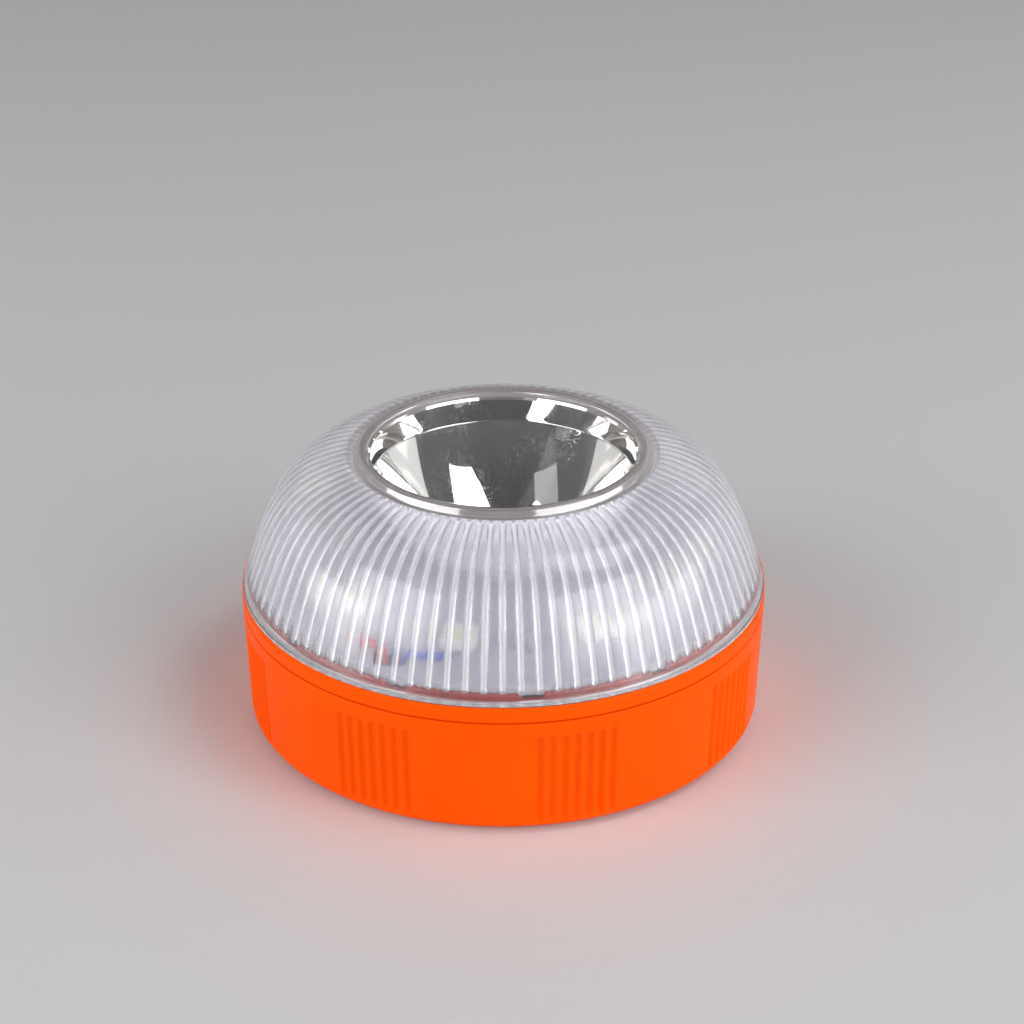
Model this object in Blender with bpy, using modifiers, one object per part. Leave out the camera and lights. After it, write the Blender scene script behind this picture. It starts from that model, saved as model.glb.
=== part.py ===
"""Electronic roadside beacon: a ribbed clear dome with a torch reflector on an orange twist-off base.

Sizes are in millimetres and are turned into metres where meshes are made. Z points up from the surface
that the beacon stands on, and the axis of the dome, the thread and the button is X = Y = 0. Azimuths are
degrees round that axis, from the front (-Y) towards +X.
"""

import math

import bmesh
import bpy
from mathutils import Matrix, Vector

MM = 0.001

# Main body
BASE_RADIUS = 40.0
BASE_FOOT_RADIUS = 39.45
PAD_PROUD = 0.8
SEAM_HEIGHT = 18.7
SEAM_GAP = 0.4
HOUSING_TOP = 21.0
GAP = 0.3

# Clear dome: its outer curve runs from the flange to the lip round the torch window
FLANGE_BOTTOM = HOUSING_TOP + GAP
FLANGE_RADIUS = 39.85
FLANGE_HEIGHT = 0.55
DOME_CURVE = ((39.5, 22.4), (35.7, 34.2), (33.7, 39.8), (22.7, 42.35))
DOME_WALL = 1.9
LIP_TOP = 42.8
LIP_RADIUS = 21.95
LIP_BORE = 20.65
LIP_UNDERSIDE = 41.2
WINDOW_RADIUS = 20.35
WINDOW_THICKNESS = 0.7
WINDOW_TOP = LIP_TOP - 0.2

# Torch reflector: a short straight wall over a parabolic bowl
RIM_RADIUS = 20.15
RIM_TOP = WINDOW_TOP - WINDOW_THICKNESS - 0.25
CREASE_RADIUS = 19.86
CREASE_HEIGHT = 37.9
BOWL_HOLE = 3.4
BOWL_BOTTOM = 24.2
REFLECTOR_WALL = 0.9
SHOULDER_RADIUS = 21.9
SHOULDER_THICKNESS = 0.9
SHOULDER_FOOT = 21.0
NECK_RADIUS = 5.0
TORCH_LED_HALF = 1.75
TORCH_LED_TOP = 23.55
TORCH_LENS_RADIUS = 1.5

# Light board
BOARD_BOTTOM = 21.2
BOARD_TOP = 22.6
BOARD_RADIUS = 36.1
SIDE_LED_COUNT = 8
SIDE_LED_RADIUS = 25.0
SIDE_LED_FIRST = -59.0
SIDE_LED_SIZE = (5.0, 5.0, 1.6)
POST_RADIUS = 25.0
POST_AZIMUTHS = (8.5, 143.5, -126.5)
SCREW_HOLE = 1.2

# Housing that joins the dome to the base
BULKHEAD_BOTTOM = 18.0
BULKHEAD_TOP = 19.2
SKIRT_RADIUS = 35.2
SKIRT_INNER = 34.2
SKIRT_BOTTOM = 11.0
BULKHEAD_BORE = 2.2
BULKHEAD_EDGE = 34.4
STEP_TOP = 20.2
LOCATING_RIM = (36.5, 37.3, 22.0)
NOTCH_COUNT = 12
NOTCH_FIRST = 6.3
NOTCH_SIZE = (3.0, 1.6, 2.4)
SEAL_GROOVE = (37.8, 39.4, 20.2)
BOSS_RADIUS = 2.3
TRAY_SCREWS = ((0.0, -28.5), (-8.0, 21.5), (8.0, 21.5))
WIRE_HOLE = (-15.4, -27.8, 2.2)

# Multi-start thread between housing and cup
THREAD_STARTS = 5
THREAD_LEAD = 15.0
THREAD_SPAN = 50.0
THREAD_START = 1.7
THREAD_BASE = 12.0
THREAD_LAG = 10.0
RIDGE_ROOT_HALF = 0.55
RIDGE_TIP_HALF = 0.4
SKIRT_RIDGE = 36.5
CUP_RIDGE = 35.6

# Twist-off cup
CUP_FLOOR = 3.1
CUP_BORE = 36.9
CUP_MOUTH = SEAM_HEIGHT - SEAM_GAP / 2
SEAL_SEAT = (38.0, 16.9)
GRIP_GROUPS = range(-4, 4)
GRIP_FIRST = 15.2
GRIP_STEP = 43.0
GROOVES_PER_GROUP = 7
GROOVE_PITCH = 2.6
GROOVE_RADIUS = 0.85
GROOVE_DEPTH = 0.4
PAD_RADII = (24.9, 35.1)
PAD_THICKNESS = 1.6
MAGNET_RADII = (10.4, 18.4)
MAGNET_BOTTOM = 0.3
MAGNET_THICKNESS = 3.0
POCKET_CEILING = 3.6
BOSS_OUTER = 20.5
BOSS_TOP = 5.0
GROOVE_MIDDLE = 8.9
GROOVE_HALF_LENGTH = 7.1

# Power button on the axis, with the switch that it works
BUTTON_RADIUS = 6.0
BUTTON_FACE = 1.0
BUTTON_FLANGE = (7.6, 2.3, 3.1)
STEM_RADIUS = 1.3
STEM_TOP = 18.75
GUIDE_BORE = 8.0
RETAINER = (1.9, 4.6, 5.4)
RETURN_SPRING = (3.55, 4.15)
RETURN_SPRING_RADII = (6.6, 3.4)
RETURN_SPRING_WIRE = 0.2
TACT_BODY = (6.0, 19.6)
TACT_PLUNGER = (1.45, 19.05, 20.1)

# Three AAA cells in a tray that hangs from the bulkhead
CELL_RADIUS = 5.25
CELL_LENGTH = 44.5
CELL_HEIGHT = 11.2
CELL_ROWS = (-18.0, -7.2, 7.2)
CONTACT_X = 23.6
CONTACT_THICKNESS = 0.4
SPRING_TURNS = 2.0
CELL_SPRING_RADII = (3.6, 1.7)
CELL_SPRING_WIRE = 0.3
CELL_SPRING_SEAT = 0.65
TRAY_CEILING = (16.7, 17.7)
TRAY_RADIUS = 33.8
END_WALL = (24.3, 25.4)
WIRE_RADIUS = 0.55
SCREW_HEAD = (2.0, 1.2)
SCREW_SHANK = 0.9

ROUND = 60
MEDIUM = 40
SMALL = 12

for leftover in list(bpy.data.objects):
    bpy.data.objects.remove(leftover, do_unlink=True)
PARTS = bpy.data.collections.new("roadside_beacon")
TOOLS = bpy.data.collections.new("cutters")
for group in (PARTS, TOOLS):
    bpy.context.scene.collection.children.link(group)


def finish(name, colour, roughness, metallic=0.0, transmission=0.0):
    """A Principled material in one colour."""
    made = bpy.data.materials.new(name)
    made.use_nodes = True
    shader = made.node_tree.nodes["Principled BSDF"]
    shader.inputs["Base Color"].default_value = (*colour, 1.0)
    shader.inputs["Roughness"].default_value = roughness
    shader.inputs["Metallic"].default_value = metallic
    shader.inputs["Transmission Weight"].default_value = transmission
    return made


ORANGE = finish("orange_plastic", (0.95, 0.13, 0.01), 0.4)
CLEAR = finish("clear_plastic", (0.97, 0.97, 0.98), 0.05, transmission=1.0)
CHROME = finish("chrome", (0.85, 0.85, 0.87), 0.05, metallic=1.0)
WHITE_BOARD = finish("white_board", (0.85, 0.86, 0.88), 0.45)
LED_CASE = finish("led_case", (0.9, 0.9, 0.88), 0.4)
PHOSPHOR = finish("phosphor", (0.95, 0.85, 0.2), 0.3)
CHIP = finish("chip", (0.03, 0.03, 0.03), 0.5)
STEEL = finish("steel", (0.62, 0.62, 0.63), 0.3, metallic=1.0)
RUBBER = finish("rubber", (0.03, 0.03, 0.03), 0.8)
RED_SILICONE = finish("red_silicone", (0.32, 0.03, 0.025), 0.5)
TRAY_PLASTIC = finish("tray_plastic", (0.06, 0.06, 0.065), 0.5)
CELL_JACKET = finish("cell_jacket", (0.1, 0.16, 0.3), 0.35)
MAGNET_METAL = finish("magnet", (0.45, 0.45, 0.46), 0.35, metallic=1.0)
RED_WIRE = finish("red_wire", (0.7, 0.02, 0.03), 0.4)
BLUE_WIRE = finish("blue_wire", (0.03, 0.05, 0.35), 0.4)


def place(name, data, material, collection=PARTS):
    """Links a named object that holds this mesh or curve."""
    made = bpy.data.objects.new(name, data)
    collection.objects.link(made)
    if material is not None:
        data.materials.append(material)
    return made


def around(radius, azimuth, height=0.0):
    """The point at this radius and azimuth, in millimetres."""
    angle = math.radians(azimuth)
    return Vector((radius * math.sin(angle), -radius * math.cos(angle), height))


def turned(name, profile, material, segments=ROUND, ring=True):
    """A profile of (radius, height) turned about Z: a closed ring, or a solid whose ends are on Z."""
    mesh = bpy.data.meshes.new(name)
    edges = [(i, i + 1) for i in range(len(profile) - 1)]
    if ring:
        edges.append((len(profile) - 1, 0))
    mesh.from_pydata([(r * MM, 0.0, z * MM) for r, z in profile], edges, [])
    made = place(name, mesh, material)
    turn = made.modifiers.new("Turn", "SCREW")
    turn.steps = segments
    turn.render_steps = segments
    turn.use_merge_vertices = True
    turn.merge_threshold = 0.00001
    return made


def block(mesh, centre, size, turn=0.0):
    """Adds a box to a bmesh, turned about the beacon's axis by an azimuth."""
    matrix = Matrix.Rotation(math.radians(turn), 4, "Z") @ Matrix.Translation(Vector(centre) * MM)
    matrix = matrix @ Matrix.Diagonal((size[0] * MM, size[1] * MM, size[2] * MM, 1.0))
    bmesh.ops.create_cube(mesh, size=1.0, matrix=matrix)


def span_block(mesh, low, high):
    """Adds a box between two corners to a bmesh."""
    centre = [(a + b) / 2 for a, b in zip(low, high)]
    size = [b - a for a, b in zip(low, high)]
    block(mesh, centre, size)


def rod(mesh, x, y, bottom, top, radius, segments=SMALL, turn=None):
    """Adds an upright cylinder to a bmesh; turn is an extra matrix that tilts or moves it."""
    matrix = Matrix.Translation(Vector((x, y, (bottom + top) / 2)) * MM)
    if turn is not None:
        matrix = turn @ matrix
    bmesh.ops.create_cone(
        mesh,
        cap_ends=True,
        segments=segments,
        radius1=radius * MM,
        radius2=radius * MM,
        depth=(top - bottom) * MM,
        matrix=matrix,
    )


def solid(name, mesh, material, collection=PARTS):
    """Turns a bmesh into a named object."""
    data = bpy.data.meshes.new(name)
    mesh.to_mesh(data)
    mesh.free()
    return place(name, data, material, collection)


def combine(target, tool, operation):
    """Joins a tool to the target, or cuts it out, and puts the tool with the cutters."""
    step = target.modifiers.new(tool.name, "BOOLEAN")
    step.operation = operation
    step.solver = "EXACT"
    step.object = tool
    tool.hide_render = True
    tool.display_type = "WIRE"


def bezier(curve, count):
    """Points along a cubic curve of (radius, height)."""
    points = []
    for i in range(count + 1):
        t = i / count
        weights = ((1 - t) ** 3, 3 * t * (1 - t) ** 2, 3 * t * t * (1 - t), t**3)
        points.append(tuple(sum(w * p[k] for w, p in zip(weights, curve)) for k in (0, 1)))
    return points


def inset(points, distance):
    """A profile moved inwards, to the left of its direction of travel."""
    moved = []
    for i, (r, z) in enumerate(points):
        before = points[max(i - 1, 0)]
        after = points[min(i + 1, len(points) - 1)]
        dr, dz = after[0] - before[0], after[1] - before[1]
        length = math.hypot(dr, dz)
        moved.append((r - distance * dz / length, z + distance * dr / length))
    return moved


def dome_cover():
    """Clear shell: flange, curved wall, raised lip and the flat underside that traps the reflector."""
    outer = bezier(DOME_CURVE, 7)
    inner = [p for p in inset(outer, DOME_WALL) if p[1] < LIP_UNDERSIDE - 0.4]
    profile = [(LIP_BORE, LIP_TOP), (LIP_RADIUS - 0.3, LIP_TOP), (LIP_RADIUS, LIP_TOP - 0.2)]
    profile += outer[::-1]
    profile += [
        (FLANGE_RADIUS - 0.1, FLANGE_BOTTOM + FLANGE_HEIGHT),
        (FLANGE_RADIUS, FLANGE_BOTTOM + FLANGE_HEIGHT - 0.2),
        (FLANGE_RADIUS, FLANGE_BOTTOM),
        (inner[0][0], FLANGE_BOTTOM),
    ]
    profile += inner
    profile += [(22.6, LIP_UNDERSIDE), (LIP_BORE, LIP_UNDERSIDE)]
    turned("dome_cover", profile, CLEAR)


def torch_window():
    """Flat clear disc inside the lip."""
    bottom = WINDOW_TOP - WINDOW_THICKNESS
    profile = [(0, WINDOW_TOP), (WINDOW_RADIUS, WINDOW_TOP), (WINDOW_RADIUS, bottom), (0, bottom)]
    turned("torch_window", profile, CLEAR, ring=False)


def bowl_height(radius):
    """Height of the parabolic bowl at a radius."""
    share = (radius**2 - BOWL_HOLE**2) / (CREASE_RADIUS**2 - BOWL_HOLE**2)
    return BOWL_BOTTOM + share * (CREASE_HEIGHT - BOWL_BOTTOM)


def reflector():
    """Chromed cup with a straight wall, a bowl, a shoulder under the dome and a neck on the board."""
    steps = 6
    radii = [BOWL_HOLE + (CREASE_RADIUS - BOWL_HOLE) * i / steps for i in range(steps + 1)]
    bowl = [(r, bowl_height(r)) for r in radii]
    outside = [(r, z) for r, z in inset(bowl, -REFLECTOR_WALL) if z > BOWL_BOTTOM + 0.6]
    shoulder_top = LIP_UNDERSIDE - GAP
    profile = [(RIM_RADIUS, RIM_TOP), (LIP_BORE - GAP, RIM_TOP), (LIP_BORE - GAP, shoulder_top)]
    shoulder_bottom = shoulder_top - SHOULDER_THICKNESS
    profile += [(SHOULDER_RADIUS, shoulder_top), (SHOULDER_RADIUS, shoulder_bottom)]
    profile += [(SHOULDER_FOOT, shoulder_bottom - 0.5), *outside[::-1]]
    profile += [(NECK_RADIUS, outside[0][1]), (NECK_RADIUS, BOARD_TOP + GAP), (BOWL_HOLE, BOARD_TOP + GAP)]
    profile += bowl
    turned("reflector", profile, CHROME, segments=48)


def torch_led():
    """Square package with a small dome lens, at the bottom of the bowl."""
    package = bmesh.new()
    half = TORCH_LED_HALF
    span_block(package, (-half, -half, BOARD_TOP + 0.25), (half, half, TORCH_LED_TOP))
    solid("torch_led", package, LED_CASE)
    base = TORCH_LED_TOP + 0.25
    angles = [i * math.pi / 10 for i in range(6)]
    arc = [(TORCH_LENS_RADIUS * math.sin(a), base + TORCH_LENS_RADIUS * math.cos(a)) for a in angles]
    turned("torch_led_lens", arc + [(0, base)], PHOSPHOR, segments=16, ring=False)


def side_leds():
    """Square packages in a ring on the board."""
    for i in range(SIDE_LED_COUNT):
        azimuth = SIDE_LED_FIRST + i * 360 / SIDE_LED_COUNT
        package = bmesh.new()
        middle = BOARD_TOP + 0.25 + SIDE_LED_SIZE[2] / 2
        block(package, (0, -SIDE_LED_RADIUS, middle), SIDE_LED_SIZE, azimuth)
        solid(f"side_led_{i + 1}", package, LED_CASE)


def led_board():
    """White round board with screw holes and a hole for the two wires."""
    plate = bmesh.new()
    rod(plate, 0, 0, BOARD_BOTTOM, BOARD_TOP, BOARD_RADIUS, MEDIUM)
    board = solid("led_board", plate, WHITE_BOARD)
    holes = bmesh.new()
    for azimuth in POST_AZIMUTHS:
        spot = around(POST_RADIUS, azimuth)
        rod(holes, spot.x, spot.y, BOARD_BOTTOM - 1, BOARD_TOP + 1, SCREW_HOLE)
    rod(holes, WIRE_HOLE[0], WIRE_HOLE[1], BOARD_BOTTOM - 1, BOARD_TOP + 1, WIRE_HOLE[2] + 0.6)
    combine(board, solid("board_holes", holes, None, TOOLS), "DIFFERENCE")


def board_parts():
    """Driver chip, capacitor and coil on the underside of the board."""
    top = BOARD_BOTTOM - 0.25
    for name, x, y, size, material in (
        ("driver_chip", 12.0, 8.0, (5.0, 4.0, 1.4), CHIP),
        ("capacitor", -12.0, 8.0, (3.6, 2.8, 1.5), PHOSPHOR),
    ):
        body = bmesh.new()
        block(body, (x, y, top - size[2] / 2), size)
        solid(name, body, material)
    coil = bmesh.new()
    rod(coil, 12.0, -8.0, top - 1.4, top, 2.4, 24)
    solid("boost_coil", coil, CHIP)


def screw(name, x, y, head_bottom, head_top, shank_end):
    """Pan-head screw: the head is above or below its shank."""
    up = 1 if shank_end < head_bottom else -1
    head_face, head_seat = (head_top, head_bottom) if up == 1 else (head_bottom, head_top)
    head = SCREW_HEAD[0]
    profile = [
        (0, head_face),
        (head - 0.5, head_face),
        (head, head_face - 0.35 * up),
        (head, head_seat),
        (SCREW_SHANK, head_seat),
        (SCREW_SHANK, shank_end),
        (0, shank_end),
    ]
    made = turned(name, profile if up == 1 else profile[::-1], STEEL, segments=SMALL, ring=False)
    made.location = (x * MM, y * MM, 0.0)


def fasteners():
    """Three screws through the board into its posts, and three through the tray into their bosses."""
    for i, azimuth in enumerate(POST_AZIMUTHS):
        spot = around(POST_RADIUS, azimuth)
        seat = BOARD_TOP + 0.25
        screw(f"board_screw_{i + 1}", spot.x, spot.y, seat, seat + SCREW_HEAD[1], BULKHEAD_TOP)
    head_top = TRAY_CEILING[0] - 0.25
    for i, (x, y) in enumerate(TRAY_SCREWS):
        screw(f"tray_screw_{i + 1}", x, y, head_top - SCREW_HEAD[1], head_top, BOARD_BOTTOM - 0.6)


def thread_ridges(name, root, tip, start_azimuth, start_height):
    """Helical ridges, one for each start, swept from a trapezoid section."""
    mesh = bmesh.new()
    steps = 7
    wide, narrow = RIDGE_ROOT_HALF, RIDGE_TIP_HALF
    section = ((root, -wide), (tip, -narrow), (tip, narrow), (root, wide))
    points = [Vector((r * MM, 0.0, (start_height + z) * MM)) for r, z in section]
    for i in range(THREAD_STARTS):
        turn = Matrix.Rotation(math.radians(start_azimuth + i * 360 / THREAD_STARTS), 4, "Z")
        face = mesh.faces.new([mesh.verts.new(turn @ point) for point in points])
        bmesh.ops.spin(
            mesh,
            geom=[face, *face.edges, *face.verts],
            cent=(0, 0, 0),
            axis=(0, 0, 1),
            dvec=(0, 0, THREAD_LEAD * THREAD_SPAN / 360 / steps * MM),
            angle=math.radians(THREAD_SPAN),
            steps=steps,
            use_duplicate=False,
        )
    bmesh.ops.recalc_face_normals(mesh, faces=mesh.faces)
    return solid(name, mesh, None, TOOLS)


def housing_ring():
    """Upper orange ring with the bulkhead, the dome's locating rim and the threaded skirt."""
    rim_inner, rim_outer, rim_top = LOCATING_RIM
    groove_inner, groove_outer, groove_floor = SEAL_GROOVE
    underside = SEAM_HEIGHT + SEAM_GAP / 2
    profile = [
        (BASE_RADIUS - 0.4, HOUSING_TOP),
        (BASE_RADIUS, HOUSING_TOP - 0.3),
        (BASE_RADIUS, underside + 0.2),
        (BASE_RADIUS - 0.2, underside),
        (SKIRT_RADIUS, underside),
        (SKIRT_RADIUS, SKIRT_BOTTOM),
        (SKIRT_INNER, SKIRT_BOTTOM),
        (SKIRT_INNER, BULKHEAD_BOTTOM),
        (BULKHEAD_BORE, BULKHEAD_BOTTOM),
        (BULKHEAD_BORE, BULKHEAD_TOP),
        (BULKHEAD_EDGE, BULKHEAD_TOP),
        (BULKHEAD_EDGE, STEP_TOP),
        (rim_inner, STEP_TOP),
        (rim_inner, rim_top),
        (rim_outer, rim_top),
        (rim_outer, HOUSING_TOP),
        (groove_inner, HOUSING_TOP),
        (groove_inner, groove_floor),
        (groove_outer, groove_floor),
        (groove_outer, HOUSING_TOP),
    ]
    housing = turned("housing_ring", profile, ORANGE)
    bosses = bmesh.new()
    holes = bmesh.new()
    posts = [around(POST_RADIUS, azimuth)[:2] for azimuth in POST_AZIMUTHS]
    for x, y in (*posts, *TRAY_SCREWS):
        rod(bosses, x, y, BULKHEAD_TOP - 0.4, BOARD_BOTTOM - GAP, BOSS_RADIUS)
        rod(holes, x, y, BULKHEAD_BOTTOM - 1, BOARD_BOTTOM + 1, SCREW_HOLE)
    rod(holes, WIRE_HOLE[0], WIRE_HOLE[1], BULKHEAD_BOTTOM - 1, BOARD_BOTTOM + 1, WIRE_HOLE[2])
    for i in range(NOTCH_COUNT):
        middle = (0, -(rim_inner + rim_outer) / 2, rim_top)
        block(holes, middle, NOTCH_SIZE, NOTCH_FIRST + i * 360 / NOTCH_COUNT)
    ridges = thread_ridges("skirt_thread", SKIRT_RADIUS - 0.3, SKIRT_RIDGE, THREAD_START, THREAD_BASE)
    combine(housing, solid("housing_bosses", bosses, None, TOOLS), "UNION")
    combine(housing, ridges, "UNION")
    combine(housing, solid("housing_holes", holes, None, TOOLS), "DIFFERENCE")


def seals():
    """Rings with a rectangular section: one under the dome's flange, one between cup and housing."""
    inner, outer, floor = SEAL_GROOVE
    low, high = floor + GAP, HOUSING_TOP + 0.05
    inner, outer = inner + GAP, outer - GAP
    turned("dome_seal", [(inner, high), (outer, high), (outer, low), (inner, low)], RED_SILICONE)
    outer, floor = SEAL_SEAT
    low, high = floor + GAP, CUP_MOUTH - 0.1
    inner, outer = outer - 1.2, outer - GAP
    turned("cup_seal", [(inner, high), (outer, high), (outer, low), (inner, low)], RUBBER)


def base_cup():
    """Twist-off base: grip grooves outside, thread inside, and pockets for pad, magnet and button."""
    outside = PAD_PROUD
    groove_ceiling = PAD_THICKNESS + GAP
    profile = [
        (BASE_RADIUS - 0.25, CUP_MOUTH),
        (BASE_RADIUS - 0.02, CUP_MOUTH - 0.25),
        (BASE_FOOT_RADIUS, outside + 1.1),
        (BASE_FOOT_RADIUS - 0.3, outside + 0.4),
        (BASE_FOOT_RADIUS - 1.05, outside),
        (PAD_RADII[1] + GAP, outside),
        (PAD_RADII[1] + GAP, groove_ceiling),
        (PAD_RADII[0] - GAP, groove_ceiling),
        (PAD_RADII[0] - GAP, outside),
        (MAGNET_RADII[1] + GAP, outside),
        (MAGNET_RADII[1] + GAP, POCKET_CEILING),
        (MAGNET_RADII[0] - GAP, POCKET_CEILING),
        (MAGNET_RADII[0] - GAP, outside),
        (BUTTON_RADIUS + 0.4, outside),
        (BUTTON_RADIUS + 0.4, BUTTON_FLANGE[1] - GAP),
        (GUIDE_BORE, BUTTON_FLANGE[1] - GAP),
        (GUIDE_BORE, BOSS_TOP),
        (BOSS_OUTER, BOSS_TOP),
        (BOSS_OUTER, CUP_FLOOR),
        (CUP_BORE, CUP_FLOOR),
        (CUP_BORE, SEAL_SEAT[1]),
        (SEAL_SEAT[0], SEAL_SEAT[1]),
        (SEAL_SEAT[0], CUP_MOUTH),
    ]
    cup = turned("base_cup", profile, ORANGE)
    lift = THREAD_BASE + THREAD_LEAD / THREAD_STARTS / 2 + THREAD_LEAD * THREAD_LAG / 360
    ridges = thread_ridges("cup_thread", CUP_BORE + 0.3, CUP_RIDGE, THREAD_START + THREAD_LAG, lift)
    combine(cup, ridges, "UNION")
    grooves = bmesh.new()
    taper = math.atan((BASE_RADIUS - BASE_FOOT_RADIUS) / (CUP_MOUTH - outside))
    wall = (BASE_RADIUS + BASE_FOOT_RADIUS) / 2 + GROOVE_RADIUS - GROOVE_DEPTH
    for i in GRIP_GROUPS:
        for k in range(GROOVES_PER_GROUP):
            offset = (k - (GROOVES_PER_GROUP - 1) / 2) * GROOVE_PITCH
            azimuth = GRIP_FIRST + i * GRIP_STEP + offset
            turn = Matrix.Rotation(math.radians(azimuth), 4, "Z")
            turn = turn @ Matrix.Translation(Vector((0, -wall, GROOVE_MIDDLE)) * MM)
            turn = turn @ Matrix.Rotation(taper, 4, "X")
            rod(grooves, 0, 0, -GROOVE_HALF_LENGTH, GROOVE_HALF_LENGTH, GROOVE_RADIUS, 6, turn)
    combine(cup, solid("grip_grooves", grooves, None, TOOLS), "DIFFERENCE")


def base_parts():
    """Rubber pad, ring magnet and the ring that keeps the button in."""
    low, high = PAD_RADII
    profile = [(low, PAD_THICKNESS), (high, PAD_THICKNESS), (high, 0.3), (high - 0.3, 0), (low + 0.3, 0)]
    turned("rubber_pad", profile + [(low, 0.3)], RUBBER, segments=MEDIUM)
    low, high = MAGNET_RADII
    top = MAGNET_BOTTOM + MAGNET_THICKNESS
    profile = [(low, top), (high, top), (high, MAGNET_BOTTOM), (low, MAGNET_BOTTOM)]
    turned("ring_magnet", profile, MAGNET_METAL, segments=MEDIUM)
    inner, low, high = RETAINER
    outer = GUIDE_BORE - GAP
    profile = [(inner, high), (outer, high), (outer, low), (inner, low)]
    turned("button_retainer", profile, TRAY_PLASTIC, segments=24)


def power_button():
    """Button cap, flange and the long stem that reaches the switch."""
    flange_radius, flange_bottom, flange_top = BUTTON_FLANGE
    profile = [
        (0, STEM_TOP),
        (STEM_RADIUS, STEM_TOP),
        (STEM_RADIUS, flange_top),
        (flange_radius, flange_top),
        (flange_radius, flange_bottom),
        (BUTTON_RADIUS, flange_bottom),
        (BUTTON_RADIUS, BUTTON_FACE + 0.3),
        (BUTTON_RADIUS - 0.3, BUTTON_FACE),
        (0, BUTTON_FACE),
    ]
    turned("power_button", profile, RUBBER, segments=24, ring=False)


def tact_switch():
    """Switch case under the board with its plunger in a blind bore."""
    size, bottom = TACT_BODY
    radius, low, high = TACT_PLUNGER
    case = bmesh.new()
    span_block(case, (-size / 2, -size / 2, bottom), (size / 2, size / 2, BOARD_BOTTOM - 0.2))
    case = solid("tact_switch", case, CHIP)
    bore = bmesh.new()
    rod(bore, 0, 0, bottom - 1, bottom + 1.2, radius + GAP, 24)
    combine(case, solid("tact_bore", bore, None, TOOLS), "DIFFERENCE")
    plunger = bmesh.new()
    rod(plunger, 0, 0, low, high, radius, 24)
    solid("tact_plunger", plunger, LED_CASE)


def spring(name, start, end, start_radius, end_radius, turns, wire):
    """Coil spring between two points: its turns go from one radius to the other."""
    start, end = Vector(start), Vector(end)
    along = (end - start).normalized()
    side = along.orthogonal().normalized()
    other = along.cross(side)
    points = []
    count = int(turns * 10)
    for i in range(count + 1):
        share = i / count
        angle = share * turns * math.tau
        radius = start_radius + (end_radius - start_radius) * share
        offset = side * math.cos(angle) * radius + other * math.sin(angle) * radius
        points.append(start.lerp(end, share) + offset)
    tube(name, points, wire, STEEL)


def tube(name, points, radius, material):
    """Round wire through these points."""
    curve = bpy.data.curves.new(name, "CURVE")
    curve.dimensions = "3D"
    curve.bevel_depth = radius * MM
    curve.bevel_resolution = 1
    curve.use_fill_caps = True
    line = curve.splines.new("POLY")
    line.points.add(len(points) - 1)
    for spot, point in zip(line.points, points):
        spot.co = (*(point * MM), 1.0)
    place(name, curve, material)


def smooth_path(route, per_span):
    """Points of a Catmull-Rom curve through the route."""
    route = [Vector(p) for p in route]
    ends = [route[0] * 2 - route[1], *route, route[-1] * 2 - route[-2]]
    points = []
    for i in range(1, len(ends) - 2):
        a, b, c, d = ends[i - 1 : i + 3]
        for k in range(per_span):
            t = k / per_span
            bend = (2 * a - 5 * b + 4 * c - d) * t * t + (3 * b - a - 3 * c + d) * t**3
            points.append((2 * b + (c - a) * t + bend) / 2)
    return [*points, route[-1]]


def wires():
    """Battery leads: each starts on the board, dives through the wire hole and ends at its contact."""
    top = BOARD_TOP + 0.95
    red = [(-19.9, -24.0, top), (-18.1, -25.7, top), (-16.8, -27.0, 22.9), (-16.5, -27.3, 20.0)]
    red += [(-16.5, -27.3, 16.5), tuple(around(33.0, -29.0, 13.2))]
    red += [tuple(around(33.1, azimuth, 12.0)) for azimuth in range(-18, 112, 16)]
    red += [(26.6, 14.8, 12.0), (24.6, 14.6, 12.0)]
    tube("red_wire", smooth_path(red, 2), WIRE_RADIUS, RED_WIRE)
    blue = [(-7.4, -29.4, top), (-10.8, -29.2, top), (-13.5, -28.4, 23.2), (-14.3, -28.1, 21.0)]
    blue += [(-14.3, -28.1, 13.0), (-15.2, -27.5, 9.8), (-19.6, -25.3, 9.0), (-23.3, -22.0, 9.6)]
    tube("blue_wire", smooth_path(blue, 2), WIRE_RADIUS, BLUE_WIRE)


def cells():
    """Three AAA cells along X, turned end for end, with a spring at each flat end."""
    button_tip = CONTACT_X - GAP
    profile = [
        (0, CELL_LENGTH),
        (1.9, CELL_LENGTH),
        (1.9, CELL_LENGTH - 1.0),
        (CELL_RADIUS - 0.35, CELL_LENGTH - 1.2),
        (CELL_RADIUS, CELL_LENGTH - 1.6),
        (CELL_RADIUS, 0.4),
        (CELL_RADIUS - 0.4, 0),
        (0, 0),
    ]
    for i, y in enumerate(CELL_ROWS):
        way = 1 if i % 2 == 0 else -1
        flat_end = way * (button_tip - CELL_LENGTH)
        cell = turned(f"battery_cell_{i + 1}", profile, CELL_JACKET, segments=20, ring=False)
        cell.rotation_euler = (0.0, way * math.pi / 2, 0.0)
        cell.location = (flat_end * MM, y * MM, CELL_HEIGHT * MM)
        start = (-way * (CONTACT_X - CELL_SPRING_SEAT), y, CELL_HEIGHT)
        end = (flat_end - way * CELL_SPRING_SEAT, y, CELL_HEIGHT)
        spring(f"cell_spring_{i + 1}", start, end, *CELL_SPRING_RADII, SPRING_TURNS, CELL_SPRING_WIRE)


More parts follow.
